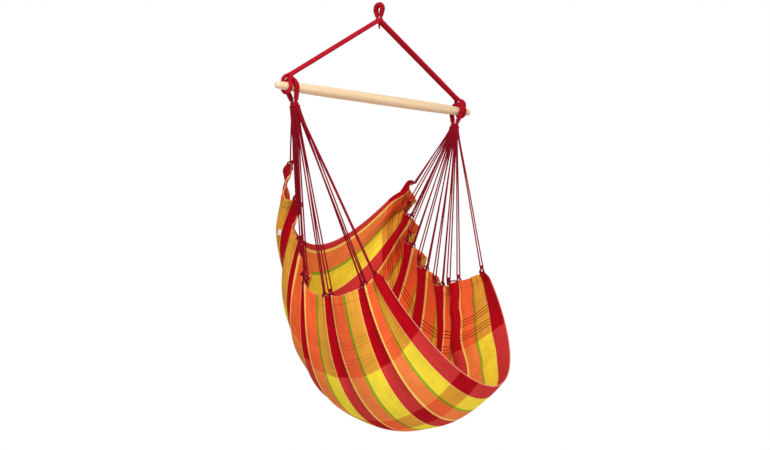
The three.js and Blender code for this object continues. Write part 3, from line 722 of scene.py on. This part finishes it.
stripe_widths = [panel_width if i % 2 else red_width for i in range(stripe_count)]
stripe_starts = [sum(stripe_widths[:i]) for i in range(stripe_count)]
pull_start = stripe_starts[-5]
corner_inset = 0.042
fore_shift = 0.018
loop_places = [w for i in range(panel_count) for w in (
    stripe_starts[2 * i + 1], stripe_starts[2 * i + 1] + panel_width)]
loop_places[0] = corner_inset
loop_places[-3] += fore_shift
loop_places[-2] += fore_shift / 2
loop_places[-1] = cloth_width - corner_inset
spans = [hem_panel_span if i % 2 else hem_red_span for i in range(stripe_count)]
spans[0] = spans[-1] = hem_edge_span
hem_spans = {side: [span * share for span, share in zip(spans, span_shares[side])] for side in (-1, 1)}


def stripe_of(w):
    """The number of the stripe at the distance w from the back edge."""
    return max(i for i, start in enumerate(stripe_starts) if w >= start or i == 0)


def hem_share(side, w):
    """How far along the gathered hem the cloth's distance w lies."""
    i = stripe_of(w)
    before = sum(hem_spans[side][:i])
    return (before + hem_spans[side][i] * (w - stripe_starts[i]) / stripe_widths[i]) / sum(hem_spans[side])


line_steps = 96
known_lines = {}


def hang_line(side, w):
    """The line of the cloth from the middle of the seat to a hem, measured along itself."""
    w = min(max(w, 0), cloth_width)
    if (side, w) not in known_lines:
        gathered = hem_share(side, w)
        spread = w / cloth_width
        hem = hem_lines[side](gathered)
        hem[0] = side * hem_half_span * blend_shares(hem_span_shares, gathered)
        middle = seat_profile(spread)
        power = blend_shares(hang_shares[side], spread)
        angle = np.pi / 2 * (1 - np.arange(line_steps + 1) / line_steps)
        share = (np.sin(angle) ** power)[:, None]
        points = hem * (1 - share) + middle * share
        points[:, 0] = hem[0] * np.cos(angle)
        known_lines[side, w] = (points, lengths_along(points))
    return known_lines[side, w]


def smooth_cloth(u, w):
    """Places of the ungathered cloth: u from -1 at the left hem to 1 at the right one."""
    places = np.empty((len(u), 3))
    for side in (-1, 1):
        chosen = (u < 0) if side < 0 else (u >= 0)
        points, lengths = hang_line(side, w)
        for k in range(3):
            places[chosen, k] = np.interp(np.abs(u[chosen]) * lengths[-1], lengths, points[:, k])
    return places


gather_height, gather_pitch = 0.0026, 0.0365
crease_height, crease_pitch = 0.0030, 0.118
fine_height, fine_pitch = 0.0016, 0.061
slack_height, slack_pitch = 0.0012, 0.21


def fold_out(u, w):
    """How far the gathered cloth stands out of its smooth surface."""
    i = stripe_of(w)
    part = (w - stripe_starts[i]) / stripe_widths[i]
    reach = np.abs(u)
    out = np.full(len(u), -red_fold * math.sin(math.pi * part))
    if i % 2:
        left, right = [fold_shares[side][i // 2] * math.sin(math.pi * part) for side in (-1, 1)]
        out = panel_fold * np.where(u < 0, left, right)
    if i == 0:
        out = np.full(len(u), -edge_fold * math.cos(math.pi / 2 * part))
    if i == stripe_count - 1:
        out = np.full(len(u), -edge_fold * math.sin(math.pi / 2 * part))
    out = out * reach ** fold_fade
    if w > pull_start:
        drawn = right_pull * math.sin(math.pi * (w - pull_start) / (cloth_width - pull_start))
        out = out - np.where(u > 0, drawn * blend_shares(right_pull_shares, reach), 0)
    # Small gathers between the loops of the lacing, and slack creases that run out into the seat.
    gathers = gather_height * math.sin(math.tau * w / gather_pitch + 0.6) * reach ** 9
    wander = 1.3 * np.sin(2.1 * u + 9 * w)
    creases = crease_height * np.sin(math.tau * w / crease_pitch + wander) * reach ** 2.2
    creases += fine_height * np.sin(math.tau * w / fine_pitch + 2.4 * u + 1.0) * reach ** 3
    slack = slack_height * np.sin(math.tau * (w / slack_pitch + 0.35 * u)) * (1 - reach ** 2)
    return out + gathers + creases + slack


def lean_out(u, w):
    """How far the folds of the left hem lean to the front."""
    i = stripe_of(w)
    if i % 2 == 0:
        return np.zeros(len(u))
    part = (w - stripe_starts[i]) / stripe_widths[i]
    lean = fold_lean * lean_shares[i // 2] * math.sin(math.pi * part)
    return np.where(u < 0, lean * np.abs(u) ** fold_fade, 0)


loop_pull = 0.005
pull_width = 0.018


def pulled_up(u, w):
    """The loops of the lacing pull the hem's edge up in small scallops."""
    nearest = min(abs(w - loop) for loop in loop_places)
    return loop_pull * math.exp(-(nearest / pull_width) ** 2) * np.abs(u) ** 26 * np.sign(u)


def unit_rows(a):
    return a / np.maximum(np.linalg.norm(a, axis=1), 1e-12)[:, None]


rim_turn = 0.042
rim_radius = 0.006
rim_reach = 0.52
rim_open = 0.74


def rim_rolled(w):
    """The back rim is turned outwards: where it lies on the seat's surface, and how far off it."""
    run = w - rim_turn
    quarter = rim_radius * math.pi / 2
    if abs(run) < quarter:
        angle = run / rim_radius
        return rim_radius * (1 - math.cos(angle)), rim_radius * (1 - math.sin(angle))
    if run < 0:
        return -run - quarter + rim_radius, 2 * rim_radius
    lift = rim_turn + quarter - rim_radius
    return w - lift * max(1 - (run - quarter) / rim_reach, 0) ** 1.5, 0


def gathered_cloth(u, w, lift):
    """The cloth in its folds, held off the smooth surface by lift."""
    du, dw = 0.05, 0.0068
    across = smooth_cloth(u, min(w + dw, cloth_width)) - smooth_cloth(u, max(w - dw, 0))
    along = smooth_cloth(np.minimum(u + du, 1), w) - smooth_cloth(np.maximum(u - du, -1), w)
    places = smooth_cloth(u, w) + unit_rows(np.cross(along, across)) * (fold_out(u, w) + lift)[:, None]
    places += unit_rows(across) * lean_out(u, w)[:, None]
    return places + unit_rows(along) * pulled_up(u, w)[:, None]


def cloth_places(u, w):
    """The gathered cloth. The roll of its back rim opens out towards both hems."""
    open_out = np.clip((np.abs(u) - rim_open) / (1 - rim_open), 0, 1)[:, None]
    open_out = open_out ** 2 * (3 - 2 * open_out)
    flat, turned = gathered_cloth(u, w, 0), gathered_cloth(u, *rim_rolled(w))
    return flat * open_out + turned * (1 - open_out)


# Rows lie closest at the hem's edge and seam, and columns at the back rim and the front corner.
hem_steps = np.array([0, 0.3, 1, 2, 3, 4, 5, 6, 7, 8, 9, 9.6, 10.2]) * hem_width / 9.6
middle_rows = 132
corner_cut = 0.045
rim_band = 0.072
columns = np.concatenate([
    np.linspace(0, rim_band, 32)[:-1], np.linspace(rim_band, cloth_width - corner_cut, 192)[:-1],
    np.linspace(cloth_width - corner_cut, cloth_width, 20)])
grid, spots, edge_runs = [], [], []
for w in columns:
    left, right = hang_line(-1, w)[1][-1], hang_line(1, w)[1][-1]
    into_corner = max(corner_cut - min(w, cloth_width - w), 0)
    short = corner_cut - math.sqrt(corner_cut ** 2 - into_corner ** 2)
    from_left = (hem_steps + short) / left - 1
    to_right = 1 - (hem_steps[::-1] + short) / right
    middle = np.linspace(from_left[-1], to_right[0], middle_rows + 2)[1:-1]
    u = np.concatenate([from_left, middle, to_right])
    grid.append(cloth_places(u, w))
    spots.append(np.where(u < 0, u * left, u * right))
    edge_runs.append(np.minimum((1 + u) * left, (1 - u) * right))
grid, spots, edge_runs = np.array(grid), np.array(spots), np.array(edge_runs)

out = np.cross(np.gradient(grid, axis=1), np.gradient(grid, axis=0))
out /= np.maximum(np.linalg.norm(out, axis=2), 1e-12)[:, :, None]
doubled = np.clip((hem_width - edge_runs) / (0.08 * hem_width) + 0.5, 0, 1)
half = (cloth_thickness + (hem_thickness - cloth_thickness) * doubled) / 2

# The stitches draw the hem in along its seam, and the cloth's edge is rounded.
stitch_inset, stitch_dent, dent_width = 0.003, 0.0009, 0.0022
edge_rounding, edge_share = 0.0012, 0.35
half -= stitch_dent * np.exp(-((edge_runs - hem_width + stitch_inset) / dent_width) ** 2)
half *= np.clip(edge_runs / edge_rounding, edge_share, 1)
skins = [grid + out * half[:, :, None], grid - out * half[:, :, None]]
rows = grid.shape[1]
inner = len(columns) * rows
last_column, last_row = len(columns) - 1, rows - 1
faces, wraps, hem_wraps = [], [], []


def cloth_face(corners):
    """One face of the sheet, from the column, the row and the skin of each corner."""
    faces.append(tuple(j * rows + i + skin * inner for j, i, skin in corners))
    for j, i, skin in corners:
        wraps.append((columns[j], spots[j, i]))
        hem_wraps.append((skin, edge_runs[j, i]))


def edge_face(start, end):
    """One face of the sheet's edge, between its two skins."""
    cloth_face([(*start, 0), (*end, 0), (*end, 1), (*start, 1)])


for j in range(last_column):
    for i in range(last_row):
        ring = [(j, i), (j, i + 1), (j + 1, i + 1), (j + 1, i)]
        cloth_face([(*corner, 0) for corner in ring])
        cloth_face([(*corner, 1) for corner in ring[::-1]])
for i in range(last_row):
    edge_face((0, i + 1), (0, i))
    edge_face((last_column, i), (last_column, i + 1))
for j in range(last_column):
    edge_face((j, 0), (j + 1, 0))
    edge_face((j + 1, last_row), (j, last_row))

seat = piece_from("seat_sheet", np.concatenate([skin.reshape(-1, 3) for skin in skins]), faces, wraps)
lay_wraps(seat.data, "hem", hem_wraps)

pure = {"red": shade(178, 4, 22), "orange": shade(243, 102, 52), "yellow": shade(228, 162, 56),
        "green": shade(128, 146, 24), "cream": shade(250, 198, 104)}
pale = {"red": shade(206, 56, 54), "orange": shade(248, 136, 68), "yellow": shade(252, 228, 62),
        "green": shade(146, 184, 40), "cream": shade(254, 222, 110)}
stripe_run = [("red", red_width), ("cream", 0.009), ("orange", 0.061), ("green", 0.010), ("yellow", 0.067),
              ("cream", 0.003)]

striped, tree = bare_paint("striped_cotton")
wrap = Wire.node(tree, "UVMap", {"uv_map": "lay"})
across = wrap.part("X")
along = wrap.part("Y")
turned = Wire.node(tree, "UVMap", {"uv_map": "hem"})
from_hem = turned.part("Y")

period = panel_width + red_width
yarn_edge = 0.0012
phase = across % period


def mix_colour(tree, factor, first, second, blend="MIX"):
    """Two colours mixed. A Mix node takes colours at sockets 6 and 7, and gives one at 2."""
    settings = {"data_type": "RGBA", "blend_type": blend}
    return Wire.node(tree, "Mix", settings, {0: factor, 6: first, 7: second}, 2)


def stripe_colours(kinds):
    """The stripes across the width, laid over each other in order."""
    colour = kinds["red"]
    start = 0
    for kind, width in stripe_run:
        if kind != "red":
            colour = mix_colour(tree, phase.within(start, start + width, yarn_edge), colour, kinds[kind])
        start += width
    return colour


# Pale weft in two bands, at distances from the middle of the seat, minus to the left. The cloth
# between and beyond them has the pure colours.
left_band, right_band = (-0.345, -0.147), (-0.071, 0.360)
shaded = 1 - (along.within(*left_band, yarn_edge) + along.within(*right_band, yarn_edge))
cloth_colour = mix_colour(tree, shaded, stripe_colours(pale), stripe_colours(pure))

# Groups of dark weft lines near both hems, on the wide panels only.
line_distances = (0.036, 0.049, 0.062, 0.099, 0.112, 0.125)
line_half_width = 0.0021
lines = None
for side, edge in ((-1, left_band[0]), (1, right_band[1])):
    for distance in line_distances:
        place = edge + side * distance
        line = along.within(place - line_half_width, place + line_half_width, yarn_edge)
        lines = line if lines is None else lines.highest(line)
panels = phase.within(red_width, period, yarn_edge)

# On the outside these lines dip under the warp, so only short floats of them show.
inside = turned.part("X")
float_pitch, float_start, float_end = 0.004, 0.0008, 0.0024
floats = (across % float_pitch).within(float_start, float_end, 0.0008) * 0.45
shown = floats + inside * (0.85 - floats)
cloth_colour = mix_colour(tree, lines * panels * shown, cloth_colour, shade(140, 36, 10))

# Yarns of uneven dye and thickness: streaks along the stripes and across them.
warp_place = Wire.node(tree, "Mapping", None, {"Vector": wrap, "Scale": (420.0, 7.0, 1.0)})
weft_place = Wire.node(tree, "Mapping", None, {"Vector": wrap, "Scale": (9.0, 380.0, 1.0)})
warp = noise(tree, warp_place, 1.0, 3.0)
weft = noise(tree, weft_place, 1.0, 3.0)
cloudy = noise(tree, wrap, 14.0, 4.0)
tone = warp * 0.5 + weft * 0.35 + cloudy * 0.4 - 0.6
darker = mix_colour(tree, 1.0, cloth_colour, (0.74, 0.66, 0.66, 1), "MULTIPLY")
lighter = mix_colour(tree, 1.0, cloth_colour, (1.14, 1.12, 1.12, 1), "MULTIPLY")
yarned = mix_colour(tree, (tone * 2.2 + 0.5).clamped(), darker, lighter)

# The hem's stitches, and painted highlights on the selvedges and on the hem's folded edge.
stitch_pitch, stitch_start, stitch_end = 0.0062, 0.0012, 0.0052
seam_start, seam_end = hem_width - 0.0036, hem_width - 0.0022
selvedge_width, fold_width = 0.0022, 0.0016
dash = (across % stitch_pitch).within(stitch_start, stitch_end, 0.0006)
stitch = from_hem.within(seam_start, seam_end, 0.0005) * dash
selvedge_highlight = across.within(-0.001, selvedge_width, 0.001)
selvedge_highlight = selvedge_highlight.highest(across.within(cloth_width - selvedge_width, cloth_width + 0.001, 0.001))
folded = from_hem.within(-0.001, fold_width, 0.0012)
yarned = mix_colour(tree, stitch * 0.8, yarned, shade(120, 16, 24))
# Painted highlight: pale lines along both side edges of the cloth and along the hem's folded edge.
yarned = mix_colour(tree, selvedge_highlight * 0.55, yarned, shade(240, 170, 150))
yarned = mix_colour(tree, folded * 0.45, yarned, shade(244, 178, 150))

warp_pitch, weft_pitch = 0.0011, 0.0013
over = abs((across * (math.pi / warp_pitch)).sine())
under = abs((along * (math.pi / weft_pitch)).sine())
weave = over * under
seam_relief = weave * 0.5 + warp * 0.9 + weft * 0.6 - stitch * 1.4
relief = Wire.node(tree, "Bump", None, {"Strength": 0.8, "Distance": 0.0005, "Height": seam_relief})
cover(tree, {
    "Base Color": yarned, "Roughness": 0.86, "Normal": relief,
    "Sheen Weight": 0.015, "Sheen Roughness": 0.6, "Specular IOR Level": 0.04})
seat.data.materials.append(striped)
settle(seat, "seat", "seat_cloth")
cloth_length = float(np.mean([hang_line(-1, w)[1][-1] + hang_line(1, w)[1][-1] for w in columns]))


# Hem lacing. A red cord is threaded through the hem and stands out of it in small crow's feet,
# three legs to a knot, which a harness cord is looped through.
lacing_radius = 0.0027
loop_height = 0.017
loop_width = 0.020
foot_depth = 0.004
foot_margin = 0.002
leg_rise = 0.009
middle_rise = 0.008
leg_bow = 0.002
knot_rise = 0.003
thread_lift, thread_bow, thread_steps = 0.001, 0.006, 6
lacing_rise = lacing_radius + hem_thickness / 2 + touch_gap

# Its dark and pale colours also give painted shade in the grooves and a painted highlight on the crowns of
# the strands.
laid_cord = cord_finish("laid_cord", strands=2, lay=0.008, plait=False, depth=0.0005,
                        dark=shade(78, 0, 12), base=shade(140, 4, 28), pale=shade(178, 16, 42))


def hem_place(side, w, from_edge=0.0):
    """A place on the cloth, at this distance from the edge of its hem."""
    length = hang_line(side, w)[1][-1]
    return Vector(cloth_places(np.array([side * (1 - from_edge / length)]), w)[0])


def neck_of(side):
    return station(side) @ Vector((0, 0, neck_foot))


def hem_frame(side, w):
    """Along the hem, off the end of the cloth, and half way to the binding."""
    reach = loop_width / 2
    run = (hem_place(side, min(w + reach, cloth_width)) - hem_place(side, max(w - reach, 0))).normalized()

    def square(v):
        return (v - run * v.dot(run)).normalized()
    off = square(hem_place(side, w) - hem_place(side, w, hem_width))
    aim = (square(neck_of(side) - hem_place(side, w)) + off).normalized()
    return run, off, aim


def loop_apex(side, w):
    """The top of a crow's foot, which the harness cord bears in."""
    run, off, aim = hem_frame(side, w)
    return hem_place(side, w) + off * lacing_rise + aim * (loop_height - lacing_rise)


def crows_foot(side, w):
    """Three legs from the hem to one knot under the harness cord: an arch, and a loop through it."""
    run, off, aim = hem_frame(side, w)
    apex = loop_apex(side, w)
    reach = loop_width / 2
    feet = [hem_place(side, min(max(w + k * reach, foot_margin), cloth_width - foot_margin))
            - off * foot_depth for k in (-1, 0, 1)]
    over = aim.cross(run).normalized() * lacing_radius * 1.6
    rise, middle, bow = off * leg_rise, off * middle_rise, off * leg_bow
    arch = [feet[0] - over, feet[0] + rise - over * 0.4, feet[0].lerp(apex, 0.6) + bow, apex,
            feet[2].lerp(apex, 0.6) + bow, feet[2] + rise + over * 0.4, feet[2] + over]
    loop = [feet[1] + over * 1.3, feet[1] + middle + over * 1.3, apex + over * 0.9,
            apex + aim * knot_rise, apex - over * 0.9, feet[1] + middle - over * 1.3, feet[1] - over * 1.3]
    return arch, loop


def joined(name, pieces):
    """One piece from several, each with its own closed skin."""
    select_only(*pieces)
    bpy.ops.object.join()
    whole = bpy.context.object
    whole.name = whole.data.name = name
    whole.select_set(False)
    return whole


for side, name in both_sides:
    ends = [loop_places[0], *loop_places, loop_places[-1]]
    for i in range(panel_count + 1):
        first, last = ends[2 * i], ends[2 * i + 1]
        legs = [run for w in dict.fromkeys((first, last)) for run in crows_foot(side, w)]
        if last > first:
            between = last - first - loop_width
            thread = []
            for k in range(thread_steps + 1):
                w = first + loop_width / 2 + between * k / thread_steps
                lift = thread_lift + thread_bow * math.sin(math.pi * k / thread_steps)
                thread.append(hem_place(side, w) + hem_frame(side, w)[1] * lift)
            legs.append(thread)
        tubes = [tube("leg", smooth_run(leg, 5), lacing_radius, laid_cord, sides=8) for leg in legs]
        lacing = joined(f"{name}_lacing_{i + 1}", tubes)
        settle(lacing, "seat", f"{name}_hem_lacing_{i + 1:02}")


# Harness cords. Twelve laid cords a side are doubled through the knots of the lacing, and both
# ends of each go up into the binding under the harness eye.
cord_radius = 0.0025
cord_pitch = 0.0051
cord_columns = 3
cord_lead = 0.009
cord_root = 0.002
bend_steps = 4
bend_share = 0.04
slot_rows = 2 * len(loop_places) // cord_columns


def cord_slot(side, number, drop):
    """The place of one run of cord under the binding, in rows of three."""
    row, column = divmod(number, cord_columns)
    column -= (cord_columns - 1) / 2
    place = Vector((side * column * cord_pitch, ((slot_rows - 1) / 2 - row) * cord_pitch, neck_foot - drop))
    return station(side) @ place


for side, name in both_sides:
    for number, w in enumerate(loop_places):
        run, off, aim = hem_frame(side, w)
        across_cord = aim.cross(run)
        apex = loop_apex(side, w)
        bend = cord_radius + lacing_radius + 2 * touch_gap
        turn = [apex + across_cord * bend * math.cos(angle) - aim * bend * math.sin(angle)
                for angle in (math.pi * k / bend_steps for k in range(bend_steps + 1))]
        first, second = 2 * number, 2 * number + 1
        leads = [cord_slot(side, first, cord_lead), cord_slot(side, second, cord_lead)]
        if (leads[0] - leads[1]).dot(across_cord) < 0:
            turn.reverse()
        reaches = [turn[0].lerp(leads[0], bend_share), turn[-1].lerp(leads[1], bend_share)]
        places = [cord_slot(side, first, -cord_root), leads[0], leads[0].lerp(reaches[0], 0.5), reaches[0],
                  *turn, reaches[1], reaches[1].lerp(leads[1], 0.5), leads[1],
                  cord_slot(side, second, -cord_root)]
        cord = tube(f"{name}_cord_{number + 1}", smooth_run(places, 8), cord_radius, laid_cord, sides=8)
        settle(cord, "seat", f"{name}_harness_cord_{number + 1:02}")


# Label. A small blank tab of white tape, folded once at its lower end and sewn by its upper ends to
# the outside of the first panel, below the left hem.
tab_width = 0.013
tab_drop = 0.024
tab_thickness = 0.0009
tab_stripe = 0.204
tab_from_hem = 0.126
tab_curl = 0.0012
tab_steps = 8
tab_profile = [(0.0006, 0), (0.0007, 0.35), (0.0010, 0.7), (0.0014, 0.93), (0.0026, 1), (0.0037, 0.92),
               (0.0034, 0.66), (0.0026, 0.3), (0.0021, 0)]

tape, tree = bare_paint("woven_tape")
where = Wire.node(tree, "TexCoord", output="Object")
cloud = noise(tree, where, 900.0, 2.0)
tape_colour = Wire.node(tree, "ValToRGB", {
    "stops": [(0.3, shade(226, 222, 216)), (0.7, shade(246, 244, 240))]}, {0: cloud})
relief = Wire.node(tree, "Bump", None, {"Strength": 0.5, "Distance": 0.0003, "Height": cloud})
cover(tree, {"Base Color": tape_colour, "Roughness": 0.8, "Normal": relief})

tab_place = hem_place(-1, tab_stripe, tab_from_hem)
tab_down = (hem_place(-1, tab_stripe, tab_from_hem + tab_drop) - tab_place).normalized()
tab_across = hem_place(-1, tab_stripe + tab_width, tab_from_hem) - tab_place
tab_across = (tab_across - tab_down * tab_across.dot(tab_down)).normalized()
tab_out = tab_across.cross(tab_down).normalized()
if tab_out.x > 0:
    tab_out = -tab_out
tab_lift = cloth_thickness / 2 + tab_thickness / 2
fold_line = smooth_run([(0, tab_lift + off, down * tab_drop) for off, down in tab_profile], 4)
skin, lining = [], []
for i, point in enumerate(fold_line):
    ahead = fold_line[min(i + 1, len(fold_line) - 1)] - fold_line[max(i - 1, 0)]
    square = Vector((0, ahead.z, -ahead.y)).normalized() * (tab_thickness / 2)
    skin.append(point + square)
    lining.append(point - square)
tab_rings = []
for k in range(tab_steps + 1):
    share = k / tab_steps - 0.5
    curl = tab_curl * (2 * share) ** 2
    tab_rings.append([tab_place + tab_across * (share * tab_width) + tab_down * p.z
                      + tab_out * (p.y + curl * p.z / tab_drop) for p in skin + lining[::-1]])
label = lofted("folded_label", tab_rings, tape, round_ends=False)
settle(label, "seat", "hem_label")
